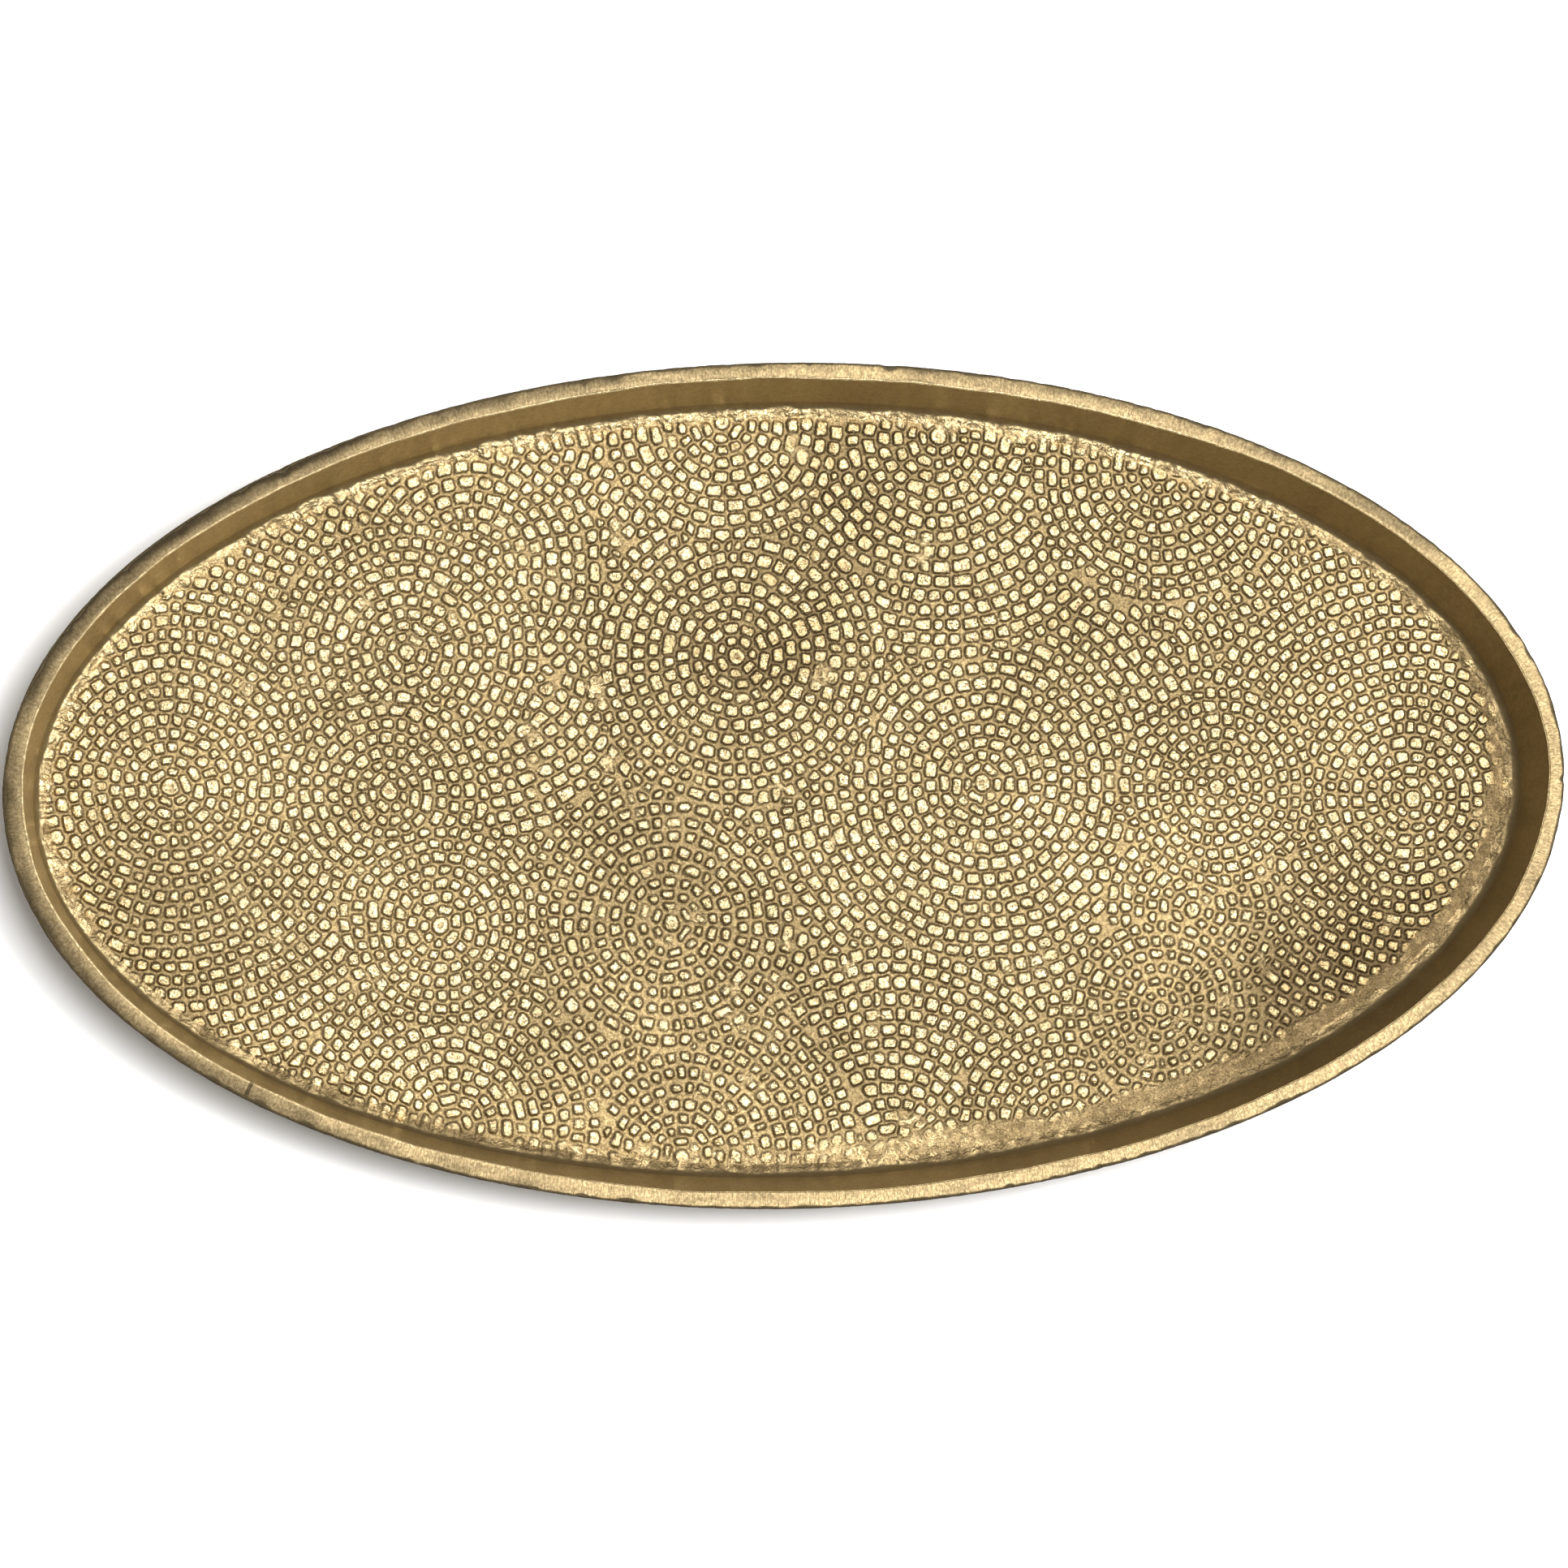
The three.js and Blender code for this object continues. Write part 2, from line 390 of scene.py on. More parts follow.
class TileMap:
    """For each grid point: the nearest tile, the distance outside it, and the distance outside the next."""

    FAR = 9.0  # stands for any distance that doesn't matter
    WANDER = ((0.13, 2.0), (0.3, 12))  # layers of how far the pattern strays, in millimetres
    SPARE = 1.5  # room round a tile that its distances are worked out for
    TILE_EDGE = 0.05  # how far outside its box a tile's edge lies
    LEAST_JOINT = 0.3  # half the joint kept between tiles that would overlap

    def __init__(self, canvas):
        self.canvas = canvas
        grid_x, grid_y = np.meshgrid(canvas.x, canvas.y)
        self.x = canvas.add_noise(grid_x, self.WANDER)
        self.y = canvas.add_noise(grid_y, self.WANDER)
        self.nearest = np.full(canvas.shape, self.FAR)
        self.second = np.full(canvas.shape, self.FAR)
        self.owner = np.zeros(canvas.shape, int)
        self.count = 0

    def lay(self, x, y, direction, half_radial, half_length, roundness):
        """Lays one tile: a box with rounded corners, half a joint smaller all round than its place."""
        window = self.canvas.window(x, y, 1.3 * math.hypot(half_radial, half_length) + self.SPARE)
        dx, dy = self.x[window] - x, self.y[window] - y
        c, s = math.cos(direction), math.sin(direction)
        half_radial, half_length = half_radial - RING_JOINT / 2, half_length - CROSS_JOINT / 2
        corner = min(half_radial, half_length) * roundness
        radial = np.abs(dx * c + dy * s) - half_radial + corner
        along = np.abs(dy * c - dx * s) - half_length + corner
        outside = np.hypot(np.maximum(radial, 0), np.maximum(along, 0))
        distance = outside + np.minimum(np.maximum(radial, along), 0) - corner
        nearest, second = self.nearest[window], self.second[window]
        closer = distance < nearest
        self.second[window] = np.where(closer, nearest, np.minimum(second, distance))
        self.nearest[window] = np.where(closer, distance, nearest)
        self.owner[window] = np.where(closer, self.count, self.owner[window])
        self.count += 1

    def fill_gaps(self):
        """Lays odd tiles in most of the gaps left between rosettes, the widest gap first."""
        on_floor = np.hypot(self.x / FLOOR_HALF_LENGTH, self.y / FLOOR_HALF_WIDTH) < 0.985
        gap = np.where(on_floor, self.nearest, 0)
        for _ in range(MOST_FILLERS):
            row, column = np.unravel_index(gap.argmax(), gap.shape)
            room = gap[row, column]
            if room < SMALLEST_GAP:
                break
            x, y = self.canvas.x[column], self.canvas.y[row]
            window = self.canvas.window(x, y, 4.0)
            if rng.random() < FILLED_SHARE:
                half = min(room, LARGEST_FILLER) + 0.15
                turn = rng.uniform(0, math.pi)
                self.lay(x, y, turn, half, half * rng.uniform(*FILLER_STRETCH), FILLER_ROUNDNESS)
                gap[window] = np.minimum(gap[window], self.nearest[window])
            else:
                gap[self.canvas.window(x, y, room)] = 0

    def inward(self):
        """How far inside its tile's edge each point is, with room kept for a joint where tiles meet."""
        to_edge = self.TILE_EDGE - self.nearest
        to_next = (self.second - self.nearest) / 2 - self.LEAST_JOINT
        return np.minimum(to_edge, to_next)


def laid_tiles(canvas):
    """The map of every tile, each a little out in place, size and turn."""
    tile_map = TileMap(canvas)
    for x, y, direction, half_radial, half_length, _ in mosaic_tiles():
        x, y = (x, y) + rng.normal(0, PLACE_ERROR, 2)
        growth = rng.uniform(*SIZE_VARIATION)
        direction += rng.normal(0, TURN_ERROR)
        roundness = 1.0 if half_length == BUTTON_RADIUS else rng.uniform(*ROUNDNESS)
        tile_map.lay(x, y, direction, half_radial * growth, half_length * growth, roundness)
    tile_map.fill_gaps()
    return tile_map


def tile_relief(canvas, tile_map):
    """The tiles' height above the joints, and how far each point has risen towards its tile's top."""
    owner, inward, count = tile_map.owner, tile_map.inward(), tile_map.count
    area = np.bincount(owner[inward > 0.3], minlength=count) * CANVAS_PITCH**2
    top = TILE_HEIGHT * rng.choice(TOP_LEVELS, count, p=LEVEL_CHANCES)
    top = np.where(area > SLIVER_AREA, top, SLIVER_HEIGHT)[owner]
    softness = smoothstep(canvas.noise(SOFT_PATCH_SIZE) / 2)
    side = rng.uniform(*SIDE_WIDTHS, count)[owner] + SOFT_SIDE_EXTRA * softness
    rise = smoothstep((inward + SIDE_SPILL) / side)
    relief = top * rise
    for x, y, _, _ in ROSETTES:
        distance = np.hypot(tile_map.x - x, tile_map.y - y)
        relief -= DIMPLE_DEPTH * np.exp(-((distance / DIMPLE_RADIUS) ** 4))
    return relief, rise


def mosaic(canvas):
    """The floor's relief above its joints, and the material's values that go with it, on the canvas."""
    tile_map = laid_tiles(canvas)
    relief, rise = tile_relief(canvas, tile_map)
    relief = melted(canvas, relief)
    relief, border, painted_shade_border = run_together_at_cove(canvas, relief)
    slope = np.hypot(*np.gradient(relief, CANVAS_PITCH))
    left_end = smoothstep((LEFT_END_X - tile_map.x) / LEFT_END_FADE)
    # Full below a fifth of the tiles' height, and gone above four fifths
    in_joint = smoothstep(1.35 - 1.7 * relief / TILE_HEIGHT)
    level = tarnish(canvas)
    tile_change = rng.normal(0, 1, tile_map.count)[tile_map.owner]
    # The border's painted shade darkens its joint colour and its tarnish
    layers = {
        "hollow": in_joint * (1 - 0.2 * border) + BORDER_PAINTED_SHADE * painted_shade_border,
        # the sides' darkening is partly painted shade
        "side": smoothstep((slope - 0.12) / 0.9) * (1 - 0.15 * left_end),
        "tarnish": level + 0.08 * tile_change * rise + BORDER_PAINTED_SHADE * painted_shade_border,
    }
    relief += canvas.add_noise(0.0, SKIN_LAYERS)
    return relief, layers


def tarnish(canvas):
    """How brown the metal has gone, from 0 to about 1. The spots also add a painted highlight and a painted
    brightening at the left end.
    """
    grid_x, grid_y = np.meshgrid(canvas.x, canvas.y)
    level = canvas.add_noise(0.4, TARNISH_LAYERS)
    for x, y, radius, change in TONE_AND_HIGHLIGHT_SPOTS:
        level += change * np.exp(-((grid_x - x) ** 2 + (grid_y - y) ** 2) / radius**2)
    return level


def melted(canvas, relief):
    """The relief with its joints part filled here and there, where the metal ran together."""
    spots = [
        filled * smoothstep((canvas.noise(size) - rarity) / fade)
        for size, rarity, fade, filled in MELTED_SPOTS
    ]
    share = np.maximum(*spots)
    crinkled = canvas.add_noise(MELTED_HEIGHT * TILE_HEIGHT, [MELTED_CRINKLE])
    return relief + share * (crinkled - relief)


def distance_to_cove(grid_x, grid_y):
    """Each point's distance in from the floor's edge, in millimetres."""
    ratio = np.hypot(grid_x / FLOOR_HALF_LENGTH, grid_y / FLOOR_HALF_WIDTH)
    gradient = np.hypot(grid_x / FLOOR_HALF_LENGTH**2, grid_y / FLOOR_HALF_WIDTH**2)
    return (1 - ratio) / np.maximum(gradient / np.maximum(ratio, 0.1), 1e-4)


def run_together_at_cove(canvas, relief):
    """Softens the tiles into crinkled ridges beside the cove. One stretch has a wide smooth border instead.

    Returns the relief, how much of each point is border, and how much painted shade the border gets.
    """
    grid_x, grid_y = np.meshgrid(canvas.x, canvas.y)
    to_cove = canvas.add_noise(distance_to_cove(grid_x, grid_y), [COVE_WOBBLE])
    angle = np.arctan2(grid_y / FLOOR_HALF_WIDTH, grid_x / FLOOR_HALF_LENGTH)
    smooth_end = smoothstep(2.2 * np.cos(angle + SMOOTH_END_ANGLE) - 1.0)
    soft_stretch = smoothstep(8 * np.cos(angle + SOFT_STRETCH_ANGLE) - 7)
    width = MELT_WIDTH + (SMOOTH_WIDTH - MELT_WIDTH) * smooth_end + (SOFT_WIDTH - MELT_WIDTH) * soft_stretch
    share = smoothstep((1 - to_cove / width) * (1 + smooth_end))
    crinkle = canvas.add_noise(0.0, COVE_CRINKLE)
    ridges = RIDGE_BASE * TILE_HEIGHT + 0.85 * canvas.blurred(relief, RIDGE_BLUR)
    band = ridges + smooth_end * (SMOOTH_HEIGHT * TILE_HEIGHT - ridges) + crinkle * (1 - 0.7 * smooth_end)
    blended = relief + share * (0.9 + 0.1 * smooth_end) * (band - relief)
    # painted shade on the border, less in the softer stretch
    return blended, share, share * cove_shade(angle) * (1 - 0.6 * soft_stretch)


def cove_shade(angle):
    """How much painted shade falls in the corner under the wall: all of the front and the right end, but not
    the back.
    """
    return smoothstep(0.5 + 0.8 * np.cos(angle + math.radians(60)))


# ---------------------------------------------------------------- the casting's mesh


class Shell:
    """A surface grown ring by ring. A few values for the material are kept at every point."""

    # The value for hollows darkens towards the joint colour, and it also carries painted shade in the cove,
    # along the border and on the land. The tarnish value also carries painted shade and a painted highlight.
    VALUES = ("hollow", "side", "tarnish", "dressed", "wall", "around", "across")

    def __init__(self):
        self.points = []
        self.values = {name: [] for name in self.VALUES}
        self.quads = []
        self.triangles = []
        self.count = 0

    def add(self, x, y, z, **values):
        """Adds a ring or grid of points and returns their numbers."""
        x, y, z = np.broadcast_arrays(x, y, z)
        self.points.append(np.stack([x, y, z], axis=-1).reshape(-1, 3))
        for name in self.VALUES:
            self.values[name].append(np.broadcast_to(values.get(name, 0.0), x.shape).ravel())
        numbers = self.count + np.arange(x.size).reshape(x.shape)
        self.count += x.size
        return numbers

    def join(self, ring, following):
        """Joins two rings. The second may have as many points as the first, or half as many."""
        ring_next, following_next = np.roll(ring, -1), np.roll(following, -1)
        if len(ring) == len(following):
            self.quads.append(np.stack([ring, following, following_next, ring_next], axis=-1))
            return
        even, odd, even_next = ring[::2], ring[1::2], np.roll(ring[::2], -1)
        self.triangles.append(np.stack([even, following, odd], axis=-1))
        self.quads.append(np.stack([odd, following, following_next, even_next], axis=-1))

    def fill(self, grid, facing_up):
        """Adds the faces of a grid of points."""
        corners = [grid[:-1, :-1], grid[:-1, 1:], grid[1:, 1:], grid[1:, :-1]]
        if not facing_up:
            corners.reverse()
        self.quads.append(np.stack(corners, axis=-1).reshape(-1, 4))

    def mesh(self, name):
        return make_mesh(
            name,
            np.concatenate(self.points) * MM,
            np.concatenate(self.quads),
            np.concatenate(self.triangles),
            {key: np.concatenate(parts) for key, parts in self.values.items()},
        )


def make_mesh(name, points, quads, triangles, values):
    mesh = bpy.data.meshes.new(name)
    mesh.vertices.add(len(points))
    mesh.vertices.foreach_set("co", points.ravel())
    corners = np.concatenate([quads.ravel(), triangles.ravel()])
    starts = np.concatenate([4 * np.arange(len(quads)), quads.size + 3 * np.arange(len(triangles))])
    mesh.loops.add(len(corners))
    mesh.loops.foreach_set("vertex_index", corners)
    mesh.polygons.add(len(starts))
    mesh.polygons.foreach_set("loop_start", starts)
    mesh.polygons.foreach_set("use_smooth", np.ones(len(starts), bool))
    mesh.update(calc_edges=True)
    for key, value in values.items():
        mesh.attributes.new(key, "FLOAT", "POINT").data.foreach_set("value", value.astype(np.float32))
    return mesh


def disc_grid(columns, rows):
    """A square grid spread over a disc: each point's angle and share of the radius."""
    u, v = np.meshgrid(np.linspace(-1, 1, columns + 1), np.linspace(-1, 1, rows + 1))
    x, y = u * np.sqrt(1 - v * v / 2), v * np.sqrt(1 - u * u / 2)
    return np.arctan2(y, x), np.hypot(x, y)


def grid_edge(grid):
    """The grid's outermost points, anticlockwise from the first corner."""
    return np.concatenate([grid[0, :-1], grid[:-1, -1], grid[-1, :0:-1], grid[:0:-1, 0]])


def add_floor(shell):
    """Adds the mosaic floor and returns its edge: point numbers, angles and heights."""
    canvas = Canvas()
    relief, layers = mosaic(canvas)
    angle, share = disc_grid(FLOOR_COLUMNS, FLOOR_ROWS)
    x, y = oval_points(angle, COVE_INSET)
    x, y = x * share, y * share
    z = TILE_TOP_Z - TILE_HEIGHT + canvas.sample(relief, x, y)
    grid = shell.add(x, y, z, **{name: canvas.sample(layer, x, y) for name, layer in layers.items()})
    shell.fill(grid, facing_up=True)
    return grid_edge(grid), grid_edge(angle), grid_edge(z)


def arc_length(angle):
    """Distance along the outline to each of these angles, in millimetres."""
    x, y = oval_points(angle, 0)
    steps = np.hypot(np.diff(x, append=x[0]), np.diff(y, append=y[0]))
    return np.cumsum(steps) - steps


def add_rings(shell, last, angle, inset, z, **values):
    """Adds rings of points row by row, each joined to the one before, and returns the last."""
    around = arc_length(angle)
    rows = max(np.shape(inset)[0], np.shape(z)[0])
    inset = np.broadcast_to(inset, (rows, len(angle)))
    z = np.broadcast_to(z, (rows, len(angle)))
    for row in range(rows):
        x, y = oval_points(angle, inset[row])
        own = {name: value[row] if np.ndim(value) else value for name, value in values.items()}
        ring = shell.add(x, y, z[row], around=around, across=inset[row] - z[row], **own)
        shell.join(last, ring)
        last = ring
    return last


def add_cove(shell, last, angle, edge_z):
    """The rounded corner between the floor and the wall, crinkled at its foot, and darkened with painted
    shade, most at the front and the right end.
    """
    rings, count = 14, len(angle)
    share = ring_shares(rings)
    turn = share * (math.pi / 2 - INNER_DRAFT)
    fade = (1 - share) ** 1.5
    rough = band_waves(rings, count, COVE_ROUGHNESS) * fade
    inset = COVE_INSET - (COVE_RADIUS - rough) * np.sin(turn)
    z = COVE_Z - (COVE_RADIUS - rough) * np.cos(turn) + (edge_z - TILE_TOP_Z) * fade
    shade = cove_shade(angle)
    # painted shade: a darker base all round, darkest at the front and the right end, in the tarnish and
    # joint-colour values; the streaks are random
    painted_shade = np.broadcast_to(0.5 + 0.4 * shade, (rings, count))
    streaks = 0.35 * lump_noise((rings, count), 14, 8) * fade
    hollow = np.clip(0.4 + 0.5 * shade + streaks, 0, 1)
    wall = smoothstep((share - 0.3 + 0.06 * ring_noise(count, 200)) / 0.3)
    return add_rings(shell, last, angle, inset, z, wall=wall, hollow=hollow, tarnish=painted_shade)


def rim_edge_inset(angle):
    """How far in the rim's uneven inner edge lies at each angle. The rim is widest at the left end."""
    uneven = ring_waves(len(angle), RIM_EDGE_WAVES)
    left = 0.8 * smoothstep(-np.cos(angle)) ** 2
    return RIM_WIDTH + left + uneven


def wall_painted_shade(angle):
    """Painted shade on the wall: brownest at the right end and palest at the left."""
    return np.clip(0.35 + 0.5 * np.cos(angle + math.radians(30)), 0, 1)


def add_wall(shell, last, angle, edge_inset):
    """The smooth leaning inner face, from the cove up to the bevel under the rim's inner edge."""
    rings, count = 16, len(angle)
    share = ring_shares(rings)
    foot_inset = COVE_INSET - COVE_RADIUS * math.cos(INNER_DRAFT)
    foot_z = COVE_Z - COVE_RADIUS * math.sin(INNER_DRAFT)
    top_inset = edge_inset + 0.2
    top_z = RIM_Z - 0.45
    lumps = band_waves(rings, count, WALL_LUMPS)
    chatter = 0.012 * ring_noise(count, 260) * share
    uneven = (lumps + chatter) * np.sin(math.pi * share)
    inset = foot_inset + (top_inset - foot_inset) * share + uneven
    z = foot_z + (top_z - foot_z) * share
    # painted shade, carried in the tarnish value
    painted_shade = np.broadcast_to(wall_painted_shade(angle), (rings, count))
    return add_rings(shell, last, angle, inset, z, wall=1.0, tarnish=painted_shade)


def chipped(angle, chips, width, depth):
    """Sharp little bites at random places round the outline: how deep they are at each angle."""
    around = arc_length(angle)
    length = around[-1]
    bites = np.zeros(len(angle))
    for place in rng.uniform(0, length, chips):
        size = width * rng.uniform(0.4, 1.6)
        gap = np.abs((around - place + length / 2) % length - length / 2)
        bites = np.maximum(bites, depth * rng.uniform(0.3, 1.0) * np.clip(1 - gap / size, 0, 1) ** 0.7)
    return bites


def add_inner_bevel(shell, last, angle, edge_inset):
    """The fine bevel inside the land, with a painted highlight at the back left."""
    inset = np.stack([edge_inset + INNER_BEVEL, edge_inset + 0.02, edge_inset - INNER_BEVEL])
    z = np.array([[RIM_Z - 0.28], [RIM_Z - 0.1], [RIM_Z - LAND_SINK]])
    # a painted highlight: less of the land's colour lets the bright tile colour show as a bright line
    painted_highlight = 0.35 * smoothstep(0.5 + 0.7 * np.cos(angle - math.radians(135)))
    dressed = np.stack([np.ones(len(angle)), 1 - painted_highlight, 1 - painted_highlight])
    return add_rings(shell, last, angle, inset, z, dressed=dressed)


def outer_bevel_width(angle):
    """How wide the rough outer bevel is at each angle, with its chips."""
    count = len(angle)
    rough = 0.5 * np.abs(ring_noise(count, 160)) + 0.3 * np.abs(ring_noise(count, 420))
    return 0.35 + 0.4 * rough + chipped(angle, chips=70, width=2.2, depth=1.0)


def add_land(shell, last, angle, edge_inset, bevel):
    """The flat dressed face between the bevels. Towards its outer edge it is darkened at the left with
    painted shade and is darker along the back, with small stains at random.
    """
    rings, count = 10, len(angle)
    share = ring_shares(rings)
    inset = edge_inset - INNER_BEVEL + (bevel - edge_inset + INNER_BEVEL) * share
    dips = 0.03 * lump_noise((rings, count), 6, 12) * np.sin(math.pi * share)
    # painted shade towards the outer edge at the left end
    stain_and_shade = 0.75 * smoothstep(-1.1 * np.cos(angle)) * share**0.7
    stain_and_shade = stain_and_shade + 0.5 * smoothstep(1.2 * np.sin(angle)) * share**1.2
    stain_and_shade = stain_and_shade + 0.07 * ring_noise(count, 90)
    stain_and_shade = np.clip(stain_and_shade + 0.07 * lump_noise((rings, count), 3, 12), 0, 1)
    return add_rings(shell, last, angle, inset, RIM_Z - LAND_SINK - np.abs(dips), dressed=1.0, hollow=stain_and_shade)


def add_outer_bevel(shell, last, angle, bevel):
    """The rough chipped edge outside the land, darkened outwards: a painted reflection of dark surroundings.
    """
    drop = bevel * (0.8 + 0.25 * ring_noise(len(angle), 300))
    share = np.array([[0.15], [0.5], [0.85], [1.0]])
    crumble = 0.05 * lump_noise((len(share), len(angle)), 2, 3)
    inset = bevel * (1 - share) + np.abs(crumble)
    z = RIM_Z - drop * share - 0.03
    return add_rings(shell, last, angle, inset, z, dressed=1.0, hollow=0.5 + 0.5 * share[:, 0])


def add_rim(shell, last, angle, edge_inset):
    """The flat dressed land, with a fine bevel inside and a rough chipped one outside."""
    last = add_inner_bevel(shell, last, angle, edge_inset)
    bevel = outer_bevel_width(angle)
    last = add_land(shell, last, angle, edge_inset, bevel)
    return add_outer_bevel(shell, last, angle, bevel)


def add_outside(shell, last, angle):
    """The rough leaning outer face."""
    rings = 14
    top_z = CHAMFER_Z - 1.2
    foot_z = HEEL_Z - HEEL_RADIUS * math.sin(OUTER_DRAFT)
    z = top_z + (foot_z - top_z) * ring_shares(rings) ** 1.2
    rough = band_waves(rings, len(angle), OUTSIDE_ROUGHNESS)
    inset = (CHAMFER_Z - z) * math.tan(OUTER_DRAFT) + np.abs(rough)
    return add_rings(shell, last, angle, inset, z, **SAND_CAST)


def add_heel(shell, last, angle):
    """The rounded heel between the outer face and the underside."""
    rings = 8
    turn = (math.pi / 2 - OUTER_DRAFT) * np.linspace(1, 0, rings + 1)[1:, None]
    rough = 0.06 * lump_noise((rings, len(angle)), 2, 3)
    inset = HEEL_INSET - (HEEL_RADIUS + rough) * np.sin(turn)
    z = HEEL_Z - (HEEL_RADIUS + rough) * np.cos(turn)
    return add_rings(shell, last, angle, inset, z, **SAND_CAST)


def add_underside(shell, last, angle):
    """The plain sand-cast underside, in ever coarser rings and then one grid."""
    step = 1.2
    inset = HEEL_INSET
    for _ in range(2):
        inset += step
        angle = angle[::2]
        z = UNDERSIDE_Z + 0.05 * np.abs(lump_noise((1, len(angle)), 1, 4))
        last = add_rings(shell, last, angle, np.full((1, 1), inset), z, **SAND_CAST)
    grid_angle, share = disc_grid(UNDERSIDE_COLUMNS, UNDERSIDE_ROWS)
    x, y = oval_points(grid_angle, inset + step)
    dents = 0.06 * np.abs(lump_noise(share.shape, 2)) + 0.1 * np.abs(lump_noise(share.shape, 9))
    grid = shell.add(x * share, y * share, UNDERSIDE_Z + dents, **SAND_CAST)
    shell.join(last, grid_edge(grid))
    shell.fill(grid, facing_up=False)


def tray_casting():
    shell = Shell()
    last, angle, edge_z = add_floor(shell)
    last = add_cove(shell, last, angle, edge_z)
    angle = angle[::2]
    edge_inset = rim_edge_inset(angle)
    last = add_wall(shell, last, angle, edge_inset)
    last = add_rim(shell, last, angle, edge_inset)
    last = add_outside(shell, last, angle)
    last = add_heel(shell, last, angle)
    add_underside(shell, last, angle)
    return bpy.data.objects.new("tray_casting_surface", shell.mesh("tray_casting_surface"))


# ---------------------------------------------------------------- the feet


def rubber_foot(node):
    """A moulded rubber disc with rounded edges and a shallow cup in the face it stands on."""
    low, high = box_mm(node)
    middle = (low + high) / 2
    radius, height = (high.x - low.x) / 2, high.z - low.z
    edge = FOOT_EDGE_RADIUS
    flat = radius - edge
    turns = [math.pi / 2 * step / 6 for step in range(7)]
    profile = [(share * radius, depth) for share, depth in FOOT_CUP]
    profile += [(flat + edge * math.sin(turn), edge - edge * math.cos(turn)) for turn in turns]
    profile += [(flat + edge * math.cos(turn), height - edge + edge * math.sin(turn)) for turn in turns]
    profile.append((0.0, height))
    return turned_solid(node + "_rubber", profile, middle.x, middle.y, low.z)


def turned_solid(name, profile, x, y, z):
    """A solid turned about an upright axis. Its profile of (radius, height) starts and ends on the axis."""
    segments = 96
    angle = np.linspace(0, 2 * math.pi, segments, endpoint=False)
    points = [(x, y, z + profile[0][1])]
    for radius, height in profile[1:-1]:
        points += [(x + radius * math.cos(a), y + radius * math.sin(a), z + height) for a in angle]
    points.append((x, y, z + profile[-1][1]))
    rings = np.arange(segments * (len(profile) - 2)).reshape(-1, segments) + 1
    ring_next = np.roll(rings, -1, axis=1)
    quads = np.stack([rings[:-1], ring_next[:-1], ring_next[1:], rings[1:]], axis=-1).reshape(-1, 4)
    first = np.stack([np.zeros(segments, int), ring_next[0], rings[0]], axis=-1)
    last = np.stack([np.full(segments, len(points) - 1), rings[-1], ring_next[-1]], axis=-1)
    mesh = make_mesh(name, np.array(points) * MM, quads, np.concatenate([first, last]), {})
    return bpy.data.objects.new(name, mesh)


# ---------------------------------------------------------------- materials


class Nodes:
    """A short way to write a material's nodes."""

    def __init__(self, name):
        self.material = bpy.data.materials.new(name)
        self.material.use_nodes = True
        self.tree = self.material.node_tree
        self.shader = self.tree.nodes["Principled BSDF"]

    def add(self, kind, inputs=(), **settings):
        node = self.tree.nodes.new(kind)
        for key, value in settings.items():
            setattr(node, key, value)
        for key, value in dict(inputs).items():
            self.put(node.inputs[key], value)
        return node

    def put(self, socket, value):
        if isinstance(value, bpy.types.NodeSocket):
            self.tree.links.new(value, socket)
        else:
            socket.default_value = value

    def set_shader(self, **inputs):
        """Sets the shader's inputs, which are named here with underscores."""
        for name, value in inputs.items():
            self.put(self.shader.inputs[name.replace("_", " ").title()], value)

    def math(self, operation, *values, clamp=False):
        inputs = dict(enumerate(values))
        return self.add("ShaderNodeMath", inputs, operation=operation, use_clamp=clamp).outputs[0]

    def times(self, first, second):
        return self.math("MULTIPLY", first, second)

    def mix_colour(self, share, first, second):
        node = self.add("ShaderNodeMix", data_type="RGBA")
        self.put(node.inputs[0], share)
        self.put(node.inputs[6], first)
        self.put(node.inputs[7], second)
        return node.outputs[2]

    def ramp(self, value, low, high, to_low=0.0, to_high=1.0):
        """The value stretched from one range to another, and held at its ends."""
        inputs = {"Value": value, "From Min": low, "From Max": high, "To Min": to_low, "To Max": to_high}
        return self.add("ShaderNodeMapRange", inputs).outputs["Result"]

    def attribute(self, name):
        return self.add("ShaderNodeAttribute", attribute_name=name).outputs["Fac"]

    def object_place(self):
        return self.add("ShaderNodeTexCoord").outputs["Object"]

    def noise(self, place, size, detail=3.0, roughness=0.55):
        """Noise from 0 to 1 whose lumps are about this size in the place's own units."""
        inputs = {"Vector": place, "Scale": 1 / size, "Detail": detail, "Roughness": roughness}
        return self.add("ShaderNodeTexNoise", inputs).outputs["Fac"]

    def point(self, x, y, z=0.0):
        return self.add("ShaderNodeCombineXYZ", {0: x, 1: y, 2: z}).outputs[0]

    def bump(self, height, strength, distance):
        inputs = {"Height": height, "Strength": strength, "Distance": distance}
        return self.add("ShaderNodeBump", inputs).outputs[0]


def casting_colour(nodes, place, at, broad, fine):
    """Bright tiles with browner crinkles, tan joints and dark brown sides. The sides' dark is partly patina
    and partly painted shade.
    """
    crinkle = nodes.ramp(nodes.noise(place, CRINKLE_SIZE, roughness=0.65), 0.44, 0.6)
    tile = nodes.mix_colour(broad, TILE_BROWN, TILE_BRIGHT)
    tile = nodes.mix_colour(nodes.times(crinkle, 0.62), tile, CRINKLE_BROWN)
    joint = nodes.mix_colour(broad, JOINT_BROWN, JOINT_TAN)
    joint = nodes.mix_colour(nodes.times(fine, 0.6), joint, GRAIN_BROWN)
    flank = nodes.mix_colour(broad, FLANK_BLACK, FLANK_BROWN)
    metal = nodes.mix_colour(at["hollow"], tile, joint)
    return nodes.mix_colour(nodes.times(at["side"], 0.9), metal, flank)


